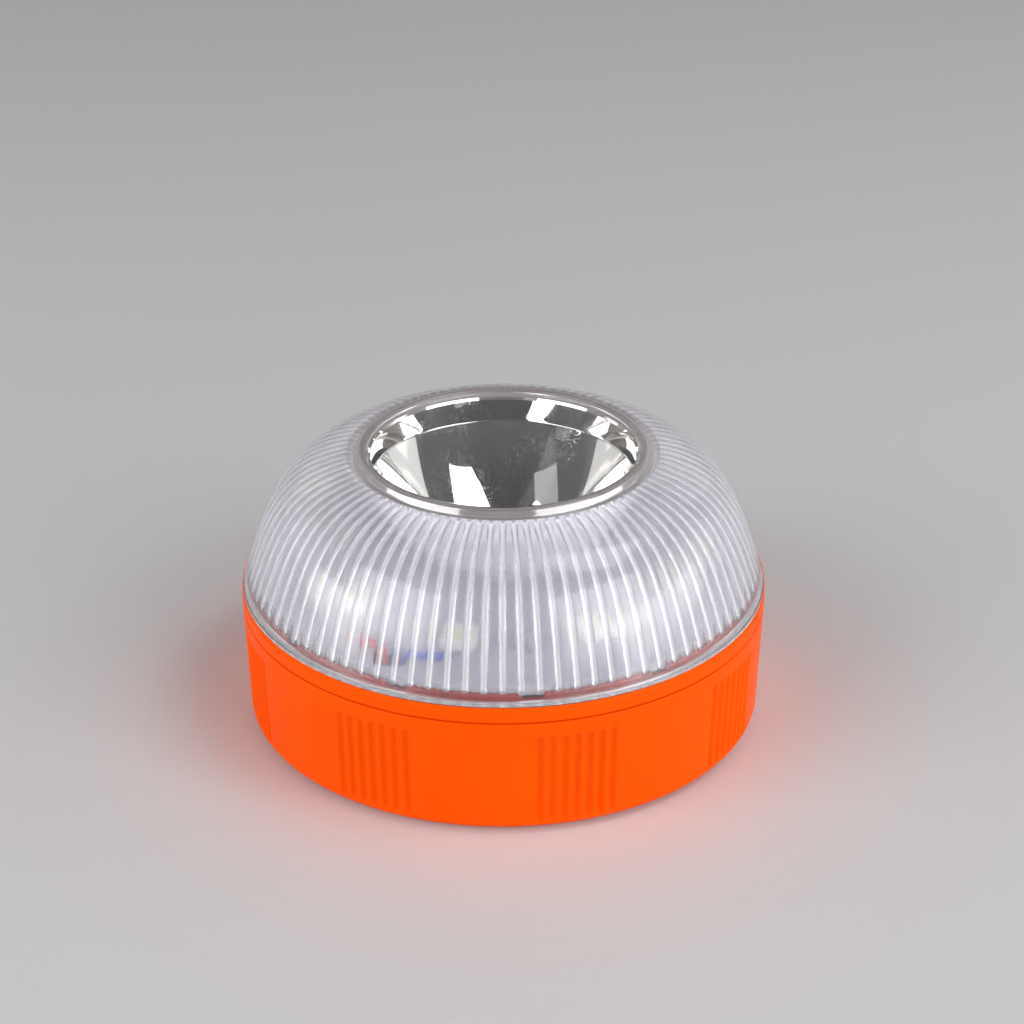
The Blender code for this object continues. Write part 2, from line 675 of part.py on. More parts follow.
def contacts():
    """Sprung-steel plates that join the cells in series."""
    low, high = CELL_HEIGHT - 4.0, CELL_HEIGHT + 4.0
    near, far = CONTACT_X, CONTACT_X + CONTACT_THICKNESS
    for name, side, y_from, y_to in (
        ("contact_negative", -1, -20.9, -14.5),
        ("contact_bridge_right", 1, -19.6, -4.6),
        ("contact_bridge_left", -1, -9.6, 9.6),
        ("contact_positive", 1, 4.4, 13.9),
    ):
        x_from, x_to = sorted((side * near, side * far))
        plate = bmesh.new()
        span_block(plate, (x_from, y_from, low), (x_to, y_to, high))
        solid(name, plate, STEEL)


def battery_tray():
    """Ceiling plate with end walls, side rails and ribs that hang between the cells."""
    low, high = TRAY_CEILING
    plate = bmesh.new()
    rod(plate, 0, 0, low, high, TRAY_RADIUS, MEDIUM)
    tray = solid("battery_tray", plate, TRAY_PLASTIC)
    walls = bmesh.new()
    top = low + 0.3
    for side in (-1, 1):
        near, far = sorted((side * END_WALL[0], side * END_WALL[1]))
        span_block(walls, (near, -19.8, 6.6), (far, 11.8, top))
        near, far = sorted((side * 4.0, side * 20.0))
        span_block(walls, (near, -0.7, 12.5), (far, 0.7, top))
    span_block(walls, (-17.0, -24.7, 9.0), (17.0, -23.6, top))
    span_block(walls, (-20.0, 12.8, 9.0), (20.0, 13.8, top))
    span_block(walls, (-20.0, -13.1, 15.2), (20.0, -12.1, top))
    combine(tray, solid("tray_walls", walls, None, TOOLS), "UNION")
    holes = bmesh.new()
    rod(holes, 0, 0, low - 1, high + 1, STEM_RADIUS + 0.6)
    for x, y in TRAY_SCREWS:
        rod(holes, x, y, low - 1, high + 1, SCREW_HOLE)
    rod(holes, WIRE_HOLE[0], WIRE_HOLE[1] - 0.6, low - 1, high + 1, WIRE_HOLE[2] + 0.6)
    combine(tray, solid("tray_holes", holes, None, TOOLS), "DIFFERENCE")


dome_cover()
torch_window()
reflector()
torch_led()
side_leds()
led_board()
board_parts()
fasteners()
housing_ring()
seals()
base_cup()
base_parts()
power_button()
tact_switch()
ends = [(0, 0, height) for height in RETURN_SPRING]
spring("button_spring", *ends, *RETURN_SPRING_RADII, SPRING_TURNS, RETURN_SPRING_WIRE)
battery_tray()
cells()
contacts()
wires()
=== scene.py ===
"""Looks for the roadside beacon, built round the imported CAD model."""

import math

import bmesh
import bpy
import numpy as np
from mathutils import Euler, Matrix, Vector

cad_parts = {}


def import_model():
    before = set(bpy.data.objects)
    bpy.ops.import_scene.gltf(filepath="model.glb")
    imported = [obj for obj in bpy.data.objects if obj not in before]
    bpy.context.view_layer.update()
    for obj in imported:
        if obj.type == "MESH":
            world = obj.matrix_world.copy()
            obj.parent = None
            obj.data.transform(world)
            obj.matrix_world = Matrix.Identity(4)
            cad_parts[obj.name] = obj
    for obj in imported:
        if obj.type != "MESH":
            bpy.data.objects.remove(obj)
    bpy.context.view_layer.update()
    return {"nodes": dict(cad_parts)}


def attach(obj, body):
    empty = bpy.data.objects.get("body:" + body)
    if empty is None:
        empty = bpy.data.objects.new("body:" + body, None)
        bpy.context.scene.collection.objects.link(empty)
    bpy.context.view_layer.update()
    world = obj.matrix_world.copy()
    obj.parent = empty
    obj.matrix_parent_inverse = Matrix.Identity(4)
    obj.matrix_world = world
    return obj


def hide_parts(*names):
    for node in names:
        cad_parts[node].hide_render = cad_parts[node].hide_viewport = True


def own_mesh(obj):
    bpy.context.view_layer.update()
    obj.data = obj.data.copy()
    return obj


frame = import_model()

MM = 0.001

# The photographed view: lens, sensor and place in millimetres, angles in degrees
LENS = 81.69
SENSOR_WIDTH = 36.0
CAMERA_PLACE = (1.53, -314.7, 190.64)
CAMERA_PITCH = 26.81
CAMERA_ROLL = 0.08

# Surroundings: brightness at stops of the sine of the elevation
WORLD_STOPS = ((0.0, 0.36), (0.35, 0.3), (0.55, 0.08), (0.69, 0.078), (0.9, 0.03), (1.0, 0.03))

# Studio floor: half its side in metres, and how far it lies below the rubber pad, in millimetres
FLOOR_HALF = 4.0
FLOOR_DROP = 0.02

# Studio lights, round a point of the axis at this height in millimetres; their own lengths are in metres,
# and azimuths run from the front towards +X
DOME_MIDDLE = 30.0
PANEL_DISTANCE = 1.0
# Each panel: name, azimuth and elevation of its middle, width, height, radiance
PANELS = (
    ("front_right", 47, 22, 0.80, 0.56, 2.9),
    ("front_left", -54, 22, 0.75, 0.56, 2.9),
    ("side_right", 106, 19, 0.55, 0.46, 0.6),
    ("side_left", -110, 17, 0.50, 0.42, 0.48),
    ("back", 180, 24, 1.60, 0.46, 0.22),
    ("low_right", 74, 7, 0.90, 0.24, 3.0),
    ("low_left", -78, 7, 0.60, 0.24, 3.2),
)
# Each softbox of another outline: name, radiance, distance, and the azimuth and elevation of each corner
SOFTBOXES = (
    ("key", 3.2, 1.0, ((73, 46), (49, 55), (48, 65), (63, 77), (106, 50))),
    ("fill", 0.43, 1.0, ((-51, 57), (-71, 46), (-108, 45), (-87, 63))),
    ("fill_spot", 3.0, 0.99, ((-82, 53), (-100, 53), (-84, 65))),
    ("glow", 0.2, 1.0, ((-52, 41), (-66, 37), (-72, 39), (-59, 43))),
)

# Profiles, in millimetres as all that follows: how far outside a rounding its support points lie at most,
# and the radius at which a solid piece's profile starts and ends
SUPPORT = 0.12
NEAR_AXIS = 0.01

# Clear dome: Bezier curve of the outer side, wall, flange, lip, and the inner edge of the lip's underside
DOME_CURVE = ((39.5, 22.4), (35.7, 34.2), (33.7, 39.8), (22.7, 42.35))
DOME_WALL = 1.9
FLANGE_RADIUS = 39.85
FLANGE_BOTTOM = 21.3
FLANGE_TOP = 21.85
DOME_FOOT = (39.64, 21.95)
LIP_TOP = 42.8
LIP_CREST = 21.7
LIP_FOOT = (22.12, 41.75)
LIP_GROOVE = (22.45, 41.75)
LIP_START = 23.0
LIP_BORE = 20.65
LIP_UNDERSIDE = 41.2
LIP_LEDGE = 22.6

# Points along the dome's wall: the outer side's, and the inner side's, finer near its two ends
OUTER_POINTS = 40
CURVE_SAMPLES = 600
FOOT_SPAN = 3.2
TOP_SPAN = 2.2
END_STEP = 0.13
MIDDLE_POINTS = 36

# Ribs on the dome's inside: number, height and half width, and where their ends fade out
RIB_COUNT = 90
RIB_HEIGHT = 0.45
RIB_HALF = 0.66
RIB_END = 0.1
RIB_END_FADE = 0.5
RELIEF_BOTTOM = 22.1
RELIEF_FADE = 0.6
# Columns of points across one rib's share of the turn
RIB_PHASES = (
    0, 0.05, 0.1, 0.14, 0.18, 0.22, 0.28, 0.37, 0.44,
    0.5, 0.56, 0.63, 0.72, 0.78, 0.82, 0.86, 0.9, 0.95,
)
# Short low ribs between them, at the dome's foot
SHORT_HEIGHT = 0.13
SHORT_HALF = 0.42
SHORT_TOP = 24.6
SHORT_FADE = 0.8

# The dome's material slots: from this share of a rib's height its crest takes a whiter, milkier plastic as
# painted highlight, the first rows of the inner side stay clear, and the lip is polished from just inside its
# crest outwards
CLEAR_SLOT, INSIDE_SLOT, RIB_HIGHLIGHT_SLOT, LIP_SLOT, POLISHED_SLOT = range(5)
RIB_HIGHLIGHT_SHARE = 0.5
CLEAR_ROWS = 7
POLISHED_START = LIP_CREST - 0.3

# Window over the torch reflector
WINDOW_RADIUS = 20.35
WINDOW_TOP = 42.6
WINDOW_BOTTOM = 41.9

# Torch reflector: rim, crease, bowl, the shoulder under the lip, and the neck on the board
RIM_RADIUS = 20.15
RIM_TOP = 41.35
CREASE_RADIUS = 19.86
CREASE_HEIGHT = 37.6
BOWL_HOLE = 3.4
BOWL_BOTTOM = 23.9
REFLECTOR_WALL = 0.9
CREASE_FILLET = 0.15
BOWL_POINTS = 48
SHOULDER_TOP = LIP_UNDERSIDE - 0.3
SHOULDER_RADIUS = 21.9
SHOULDER_FOOT = 21.0
SHOULDER_THICKNESS = 0.9
SHOULDER_TAPER = 0.5
BOARD_TOP = 22.6
NECK_RADIUS = 5.0
NECK_BOTTOM = BOARD_TOP + 0.3

# Base cup, and the housing ring with its skirt, bulkhead, locating rim and seal groove
BASE_RADIUS = 40.0
FOOT_RADIUS = 39.45
CUP_BOTTOM = 0.8
CUP_MOUTH = 18.62
CUP_FLOOR = 3.1
CUP_BORE = 36.9
SEAL_SEAT = (38.0, 16.9)
BOSS_OUTER = 20.5
BOSS_TOP = 5.0
SEAM_TOP = 18.82
HOUSING_TOP = 21.0
SKIRT_RADIUS = 35.2
SKIRT_INNER = 34.2
SKIRT_BOTTOM = 11.0
BULKHEAD_BOTTOM = 18.0
BULKHEAD_TOP = 19.2
BULKHEAD_BORE = 2.2
BULKHEAD_EDGE = 34.4
STEP_TOP = 20.2
# Pockets under the cup: inner and outer radius, and ceiling; and the button's opening and guide
PAD_POCKET = (24.6, 35.4, 1.9)
MAGNET_POCKET = (10.1, 18.7, 3.6)
BUTTON_OPENING = 6.4
OPENING_TOP = 2.0
GUIDE_BORE = 8.0
# Inner and outer radius, and top or bottom
LOCATING_RIM = (36.5, 37.3, 22.0)
SEAL_GROOVE = (37.8, 39.4, 20.2)
# Notches in the locating rim: azimuth of one, and half width and slope of the ends, in degrees
NOTCH_COUNT = 12
NOTCH_FIRST = 6.3
NOTCH_HALF = 2.6
NOTCH_SLOPE = 0.5
NOTCH_DEPTH = 1.2
NOTCH_FLOOR = 20.9

# Grip grooves: eight groups from -GRIP_REACH to GRIP_REACH - 1 steps from the first one; angles in degrees
GRIP_FIRST = 15.2
GRIP_STEP = 43.0
GRIP_REACH = 4
GROOVES = 7
GROOVE_PITCH = 2.6
GROOVE_HALF = 1.15
GROOVE_DEPTH = 0.46
GROOVE_BOTTOM = 1.8
GROOVE_TOP = 16.3
GROOVE_FADE = 0.8
# How far before the first group the azimuths start that are sorted into groups: inside the plain stretch
GRIP_LEAD = 200.0

# Thread: ridges on skirt and cup, with the radii of root and tip; the cup's lie between the skirt's, and are
# turned on by the lag
THREAD_STARTS = 5
THREAD_LEAD = 15.0
THREAD_SPAN = 50.0
THREAD_START = 1.7
THREAD_BASE = 12.0
THREAD_LAG = 10.0
THREAD_STEPS = 24
SKIRT_RIDGE = (34.9, 36.5)
CUP_RIDGE = (37.2, 35.6)
RIDGE_ROOT_HALF = 0.55
RIDGE_TIP_HALF = 0.4

# Screw bosses on the bulkhead and the holes through it: bottom, top, radius
BOSS = (18.8, 20.9, 2.3)
BOSS_HOLE = (17.0, 22.2, 1.2)
POST_RADIUS = 25.0
POST_AZIMUTHS = (8.5, 143.5, -126.5)
TRAY_SCREWS = [(0.0, -28.5), (-8.0, 21.5), (8.0, 21.5)]
LEAD_HOLE_PLACE = (-15.4, -27.8)
LEAD_HOLE_RADIUS = 2.2
ROD_SIDES = 32

# Side LEDs: package, and in its own frame the cavity's bottom, top and radius, and the phosphor's section
SIDE_LED_COUNT = 8
SIDE_LED_FIRST = -59.0
SIDE_LED_RADIUS = 25.0
SIDE_LED_SIZE = (5.0, 5.0, 1.6)
SIDE_LED_BEVEL = 0.12
SIDE_LED_LIFT = 1.05
CAVITY = (0.35, 2.0, 2.05)
PHOSPHOR_SECTION = ((NEAR_AXIS, 0.72), (2.0, 0.62), (2.0, 0.36), (NEAR_AXIS, 0.36))

# Return spring of the button: lower and upper end of its middle line, their radii, turns, radius of the wire
SPRING_ENDS = (3.55, 4.15)
SPRING_RADII = (6.6, 3.4)
SPRING_TURNS = 2.0
SPRING_WIRE = 0.2
SPRING_STEPS = 96
SPRING_SIDES = 12


# ---------------------------------------------------------------- materials

def fill_ramp(node, stops):
    elements = node.color_ramp.elements
    while len(elements) < len(stops):
        elements.new(0.5)
    for element, (where, colour) in zip(elements, stops):
        element.position = where
        element.color = (*colour, 1.0)


class Nodes:
    """Short names for building one material's node tree."""

    def __init__(self, name):
        self.material = bpy.data.materials.new(name)
        self.material.use_nodes = True
        self.tree = self.material.node_tree
        self.shader = self.tree.nodes["Principled BSDF"]

    def node(self, kind, **values):
        made = self.tree.nodes.new(kind)
        for key, value in values.items():
            if hasattr(made, key):
                setattr(made, key, value)
            else:
                made.inputs[key.replace("_", " ")].default_value = value
        return made

    def link(self, source, target):
        self.tree.links.new(source, target)

    def set(self, **values):
        for key, value in values.items():
            self.shader.inputs[key.replace("_", " ")].default_value = value

    def noise(self, scale, detail, roughness=0.55):
        made = self.node("ShaderNodeTexNoise", Scale=scale, Detail=detail, Roughness=roughness)
        self.link(self.node("ShaderNodeTexCoord").outputs["Object"], made.inputs["Vector"])
        return made.outputs["Fac"]

    def ramp(self, value, stops):
        made = self.node("ShaderNodeValToRGB")
        fill_ramp(made, stops)
        self.link(value, made.inputs["Fac"])
        return made.outputs["Color"]

    def span(self, value, low, high, from_low=0.3, from_high=0.7):
        made = self.node("ShaderNodeMapRange", From_Min=from_low, From_Max=from_high, To_Min=low, To_Max=high)
        self.link(value, made.inputs["Value"])
        return made.outputs["Result"]

    def mix(self, share, first, second):
        made = self.node("ShaderNodeMix", data_type="RGBA")
        for name, value in (("Factor", share), ("A", first), ("B", second)):
            socket = made.inputs[name]
            if isinstance(value, bpy.types.NodeSocket):
                self.link(value, socket)
            elif isinstance(value, tuple):
                socket.default_value = (*value, 1.0)
            else:
                socket.default_value = value
        return made.outputs["Result"]

    def base_colour(self, value, stops):
        self.link(self.ramp(value, stops), self.shader.inputs["Base Color"])

    def roughness(self, value, low, high, *limits):
        self.link(self.span(value, low, high, *limits), self.shader.inputs["Roughness"])

    def bump(self, height, distance, strength):
        made = self.node("ShaderNodeBump", Strength=strength, Distance=distance)
        self.link(height, made.inputs["Height"])
        self.link(made.outputs["Normal"], self.shader.inputs["Normal"])


def orange_plastic():
    """Satin moulded plastic: broad faint tones, uneven roughness and a fine grain."""
    m = Nodes("orange_abs")
    m.base_colour(m.noise(38, 3), [(0.3, (0.97, 0.087, 0.0003)), (0.7, (1.0, 0.098, 0.0005))])
    m.roughness(m.noise(900, 5), 0.3, 0.42)
    m.bump(m.noise(2600, 3), distance=0.00002, strength=0.35)
    m.set(Subsurface_Weight=0.06, Subsurface_Radius=(0.004, 0.0015, 0.0005), Subsurface_Scale=0.4)
    m.set(Specular_IOR_Level=0.04)
    return m.material


def clear_plastic(name, dark, light, clarity, rough, relief, gloss, grain=60, ior=1.5, coat=0.0):
    """Transparent at a clarity of 1 and milky below it; two close tones mottled at the grain's scale."""
    m = Nodes(name)
    m.base_colour(m.noise(grain, 3), [(0.35, dark), (0.65, light)])
    m.set(Transmission_Weight=clarity, IOR=ior, Roughness=rough, Specular_IOR_Level=gloss)
    m.set(Coat_Weight=coat, Coat_IOR=2.2, Coat_Roughness=0.1)
    m.bump(m.noise(3600, 4), distance=relief, strength=0.6)
    return m.material


def chrome():
    """Vacuum-metallised plastic: nearly a mirror, with faint ripples and patches of fine short scratches."""
    m = Nodes("metallised_plastic")
    m.base_colour(m.noise(90, 4), [(0.3, (0.88, 0.865, 0.85)), (0.7, (0.94, 0.93, 0.915))])
    m.set(Metallic=1.0)
    hair = m.ramp(m.noise(1300, 2, 0.5), [(0.47, (0, 0, 0)), (0.5, (1, 1, 1)), (0.53, (0, 0, 0))])
    patch = m.ramp(m.noise(110, 3), [(0.44, (0.04, 0.04, 0.04)), (0.62, (1, 1, 1))])
    scratches = m.mix(patch, (0.0, 0.0, 0.0), hair)
    m.roughness(scratches, 0.025, 0.26, 0.0, 1.0)
    m.bump(m.mix(0.06, m.noise(140, 2), scratches), distance=0.000006, strength=0.3)
    return m.material


def plain(name, dark, light, rough, scale=400, metallic=0.0, relief=0.00001, gloss=0.5):
    """A procedural finish: two close tones, uneven roughness and a fine relief."""
    m = Nodes(name)
    m.base_colour(m.noise(scale, 4), [(0.3, dark), (0.7, light)])
    m.roughness(m.noise(scale * 2, 4), *rough)
    m.set(Metallic=metallic, Specular_IOR_Level=gloss)
    m.bump(m.noise(1500, 3), distance=relief, strength=0.6)
    return m.material


# ---------------------------------------------------------------- shapes

def azimuth_point(radius, azimuth, height=0.0):
    angle = math.radians(azimuth)
    return Vector((radius * math.sin(angle), -radius * math.cos(angle), height))


def bezier(curve, count):
    t = np.linspace(0, 1, count + 1)[:, None]
    p = np.array(curve, float)
    return (1 - t) ** 3 * p[0] + 3 * t * (1 - t) ** 2 * p[1] + 3 * t * t * (1 - t) * p[2] + t**3 * p[3]


def inset(points, distance):
    """Moves a profile to the left of its direction of travel."""
    p = np.array(points, float)
    d = np.gradient(p, axis=0)
    d /= np.linalg.norm(d, axis=1)[:, None]
    return p + distance * np.stack([-d[:, 1], d[:, 0]], 1)


def rounded(points, radii, steps=5):
    """A closed profile with rounded corners: one radius for each corner, 0 for a sharp one.

    A point just outside each end of a rounding keeps the smooth shading of the flats beside it flat.
    """
    corners = [Vector(p) for p in points]
    count = len(corners)
    sides = [(corners[i - 1] - p, corners[(i + 1) % count] - p) for i, p in enumerate(corners)]
    halves = [a.angle(b) / 2 for a, b in sides]
    reaches = [radius / math.tan(half) for radius, half in zip(radii, halves)]
    out = []
    for i, (p, radius, half, reach) in enumerate(zip(corners, radii, halves, reaches)):
        if radius == 0:
            out.append(tuple(p))
            continue
        ways = [side.normalized() for side in sides[i]]
        beside = (i - 1, (i + 1) % count)
        spares = [(side.length - reach - reaches[j]) / 3 for side, j in zip(sides[i], beside)]
        centre = p + (ways[0] + ways[1]).normalized() * (radius / math.sin(half))
        start, end = (p + way * reach - centre for way in ways)
        arc = [tuple(centre + start.lerp(end, k / steps).normalized() * radius) for k in range(steps + 1)]
        before, after = ([tuple(p + way * (reach + min(SUPPORT, spare)))] if spare > 0.02 else []
                         for way, spare in zip(ways, spares))
        out += before + arc + after
    return out


def dense(points, step):
    """Adds points along the straight stretches of a profile, no further apart than step."""
    out = [points[0]]
    for a, b in zip(points, points[1:]):
        count = max(1, math.ceil(math.dist(a, b) / step))
        out += [tuple(a[k] + (b[k] - a[k]) * i / count for k in (0, 1)) for i in range(1, count + 1)]
    return out


def smooth(obj, angle=35):
    obj.data.shade_smooth()
    obj.data.set_sharp_from_angle(angle=math.radians(angle))


def add_object(name, data):
    made = bpy.data.objects.new(name, data)
    bpy.context.scene.collection.objects.link(made)
    return made


def mesh_object(name, vertices, faces, material, angle=35):
    data = bpy.data.meshes.new(name)
    data.from_pydata(vertices, [], faces)
    data.materials.append(material)
    data.validate()
    made = add_object(name, data)
    smooth(made, angle)
    return made


def bmesh_object(name, mesh, material):
    data = bpy.data.meshes.new(name)
    mesh.to_mesh(data)
    mesh.free()
    data.materials.append(material)
    return add_object(name, data)


def turned(name, profile, material, columns, shape=None, ring=True, angle=35):
    """A profile of (radius, height) turned about Z, down the outer side and up the inner side.

    columns is their number, or their azimuths. shape(r, z, azimuth) may move the points, as arrays.
    A ring's profile closes on itself; otherwise its two ends are capped near the axis.
    """
    p = np.array(profile, float)
    rows = len(p)
    azimuth = np.arange(columns) * 360.0 / columns if isinstance(columns, int) else columns
    columns = len(azimuth)
    r = np.repeat(p[:, :1], columns, 1)
    z = np.repeat(p[:, 1:], columns, 1)
    a = np.repeat(azimuth[None], rows, 0)
    if shape is not None:
        r, z = shape(r, z, a)
    angle_of = np.radians(a)
    vertices = np.stack([r * np.sin(angle_of), -r * np.cos(angle_of), z], -1).reshape(-1, 3) * MM
    index = np.arange(rows * columns).reshape(rows, columns)
    after = np.roll(index, -1, 1)
    quads = [np.stack([index[i], index[i + 1], after[i + 1], after[i]], 1) for i in range(rows - 1)]
    if ring:
        quads.append(np.stack([index[-1], index[0], after[0], after[-1]], 1))
    faces = np.concatenate(quads).tolist()
    if not ring:
        faces += [index[0].tolist(), index[-1][::-1].tolist()]
    return mesh_object(name, vertices.tolist(), faces, material, angle)


def ridges(name, radii, start_azimuth, start_height, material):
    """Helical thread ridges, from root to tip radius, as one mesh of separate swept bars."""
    vertices, faces = [], []
    root, tip = radii
    lower = ((root, -RIDGE_ROOT_HALF), (tip, -RIDGE_TIP_HALF))
    section = (*lower, (tip, RIDGE_TIP_HALF), (root, RIDGE_ROOT_HALF))
    for i in range(THREAD_STARTS):
        base = len(vertices)
        for k in range(THREAD_STEPS + 1):
            turn = THREAD_SPAN * k / THREAD_STEPS
            angle = math.radians(start_azimuth + 360 / THREAD_STARTS * i + turn)
            x, y = math.cos(angle), math.sin(angle)
            lift = start_height + THREAD_LEAD * turn / 360
            vertices += [(r * x * MM, r * y * MM, (lift + z) * MM) for r, z in section]
        for k in range(THREAD_STEPS):
            a = base + 4 * k
            faces += [[a + j, a + (j + 1) % 4, a + 4 + (j + 1) % 4, a + 4 + j] for j in range(4)]
        faces += [[base + 3, base + 2, base + 1, base], [base + 4 * THREAD_STEPS + j for j in range(4)]]
    made = mesh_object(name, vertices, faces, material, 30)
    mesh = bmesh.new()
    mesh.from_mesh(made.data)
    bmesh.ops.recalc_face_normals(mesh, faces=mesh.faces)
    mesh.to_mesh(made.data)
    mesh.free()
    return made


def rods(name, places, bottom, top, radius, material):
    """Upright cylinders at several places, as one mesh."""
    mesh = bmesh.new()
    for x, y in places:
        matrix = Matrix.Translation(Vector((x, y, (bottom + top) / 2)) * MM)
        bmesh.ops.create_cone(mesh, cap_ends=True, segments=ROD_SIDES, radius1=radius * MM,
                              radius2=radius * MM, depth=(top - bottom) * MM, matrix=matrix)
    return bmesh_object(name, mesh, material)


def combine(target, tool, operation):
    """Applies a Boolean with the tool and removes it."""
    step = target.modifiers.new(tool.name, "BOOLEAN")
    step.operation = operation
    step.solver = "MANIFOLD"
    step.object = tool
    bpy.context.view_layer.update()
    evaluated = target.evaluated_get(bpy.context.evaluated_depsgraph_get())
    data = bpy.data.meshes.new_from_object(evaluated)
    target.modifiers.clear()
    target.data = data
    bpy.data.objects.remove(tool, do_unlink=True)
    smooth(target)


def keep(piece, body, slot, *nodes):
    """Rides a piece on its body, in place of CAD nodes."""
    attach(piece, body)
    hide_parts(*nodes)


# ---------------------------------------------------------------- pieces

def rib_relief(inner, along, azimuths):
    """How far the ribs stand in from the wall: one row for each inner point, one column for each azimuth."""
    pitch = 2 * math.pi * inner[:, :1] / RIB_COUNT
    phase = azimuths[None] * RIB_COUNT / 360.0 % 1.0
    away = np.minimum(phase, 1 - phase) * pitch
    rib = RIB_HEIGHT * np.cos(np.clip(away / RIB_HALF, 0, 1) * math.pi / 2) ** 2
    between = np.abs(phase - 0.5) * pitch
    height = inner[:, 1:]
    short = SHORT_HEIGHT * np.cos(np.clip(between / SHORT_HALF, 0, 1) * math.pi / 2) ** 2
    short = short * np.clip((SHORT_TOP - height) / SHORT_FADE, 0, 1)
    foot = np.clip((height - RELIEF_BOTTOM) / RELIEF_FADE, 0, 1)
    end = np.clip((along[-1] - along[:, None] - RIB_END) / RIB_END_FADE, 0, 1)
    return np.maximum(rib * np.sqrt(1 - (1 - end) ** 2), short) * foot


def inner_wall():
    """Points of the dome's inner side from its foot up, and how far along it each one lies."""
    fine = inset(bezier(DOME_CURVE, CURVE_SAMPLES), DOME_WALL)
    fine = fine[fine[:, 1] < LIP_UNDERSIDE - 0.05]
    length = np.concatenate([[0], np.cumsum(np.linalg.norm(np.diff(fine, axis=0), axis=1))])
    total = length[-1]
    along = np.concatenate([
        np.arange(0, FOOT_SPAN, END_STEP),
        np.linspace(FOOT_SPAN, total - TOP_SPAN, MIDDLE_POINTS),
        total - np.arange(TOP_SPAN - END_STEP, -0.01, -END_STEP),
    ])
    return np.stack([np.interp(along, length, fine[:, k]) for k in (0, 1)], 1), along


def dome(material, inside, ribs, milky, polished):
    """Clear cover with ribs inside, a raised lip round its opening and a flange at its foot."""
    inner, along = inner_wall()
    slope = np.gradient(inner, axis=0)
    slope /= np.linalg.norm(slope, axis=1)[:, None]
    inward = np.stack([-slope[:, 1], slope[:, 0]], 1)

    outer = bezier(DOME_CURVE, OUTER_POINTS)
    outer = [tuple(p) for p in outer[outer[:, 0] > LIP_START]]
    bore = [(LIP_BORE, LIP_UNDERSIDE), (LIP_BORE, LIP_TOP)]
    lip = [*bore, (LIP_CREST, LIP_TOP), LIP_FOOT, LIP_GROOVE, outer[-1]]
    lip_points = rounded(lip, (0, 0.25, 0.25, 0.12, 0.15, 0))[1:-1]
    flange = [(FLANGE_RADIUS, FLANGE_TOP), (FLANGE_RADIUS, FLANGE_BOTTOM)]
    foot_points = rounded([outer[0], DOME_FOOT, *flange, tuple(inner[0])], (0, 0.05, 0.12, 0.12, 0))[1:-1]
    profile = lip_points + outer[::-1] + foot_points + [(inner[0][0], FLANGE_BOTTOM)]
    first = len(profile)
    last = first + len(inner)
    profile += [tuple(p) for p in inner] + [(LIP_LEDGE, LIP_UNDERSIDE), (LIP_BORE, LIP_UNDERSIDE)]

    azimuths = (np.arange(RIB_COUNT)[:, None] + np.array(RIB_PHASES)).ravel() * 360 / RIB_COUNT
    relief = np.zeros((len(profile), len(azimuths)))
    relief[first:last] = rib_relief(inner, along, azimuths)
    normal = np.zeros((len(profile), 2))
    normal[first:last] = inward

    def ribbed(r, z, azimuth):
        return r + normal[:, :1] * relief, z + normal[:, 1:] * relief

    made = turned("dome", profile, material, columns=azimuths, shape=ribbed, angle=60)
    for extra in (inside, ribs, milky, polished):
        made.data.materials.append(extra)
    corners = relief + np.roll(relief, -1, 1)
    corners += np.roll(corners, -1, 0)
    # Rib crests take the whiter plastic, a painted highlight for the bright line each rib catches
    slots = np.where(corners > RIB_HIGHLIGHT_SHARE * 4 * RIB_HEIGHT, RIB_HIGHLIGHT_SLOT, INSIDE_SLOT)
    slots[: first + CLEAR_ROWS] = CLEAR_SLOT
    slots[: len(lip_points)] = LIP_SLOT
    slots[[i for i, point in enumerate(lip_points) if point[0] > POLISHED_START]] = POLISHED_SLOT
    slots[last:] = LIP_SLOT
    made.data.polygons.foreach_set("material_index", slots.ravel())
    made.visible_shadow = False
    keep(made, "lamp", "clear_plastic", "dome_cover")


def window(material, edge):
    """Flat disc in the lip, with a milky edge."""
    corners = [
        (NEAR_AXIS, WINDOW_TOP), (WINDOW_RADIUS, WINDOW_TOP),
        (WINDOW_RADIUS, WINDOW_BOTTOM), (NEAR_AXIS, WINDOW_BOTTOM),
    ]
    made = turned("window", rounded(corners, (0, 0.1, 0.1, 0)), material, columns=180, ring=False)
    made.data.materials.append(edge)
    for polygon in made.data.polygons:
        polygon.material_index = int(abs(polygon.normal.z) < 0.5)
    made.visible_shadow = False
    keep(made, "lamp", "clear_plastic", "torch_window")


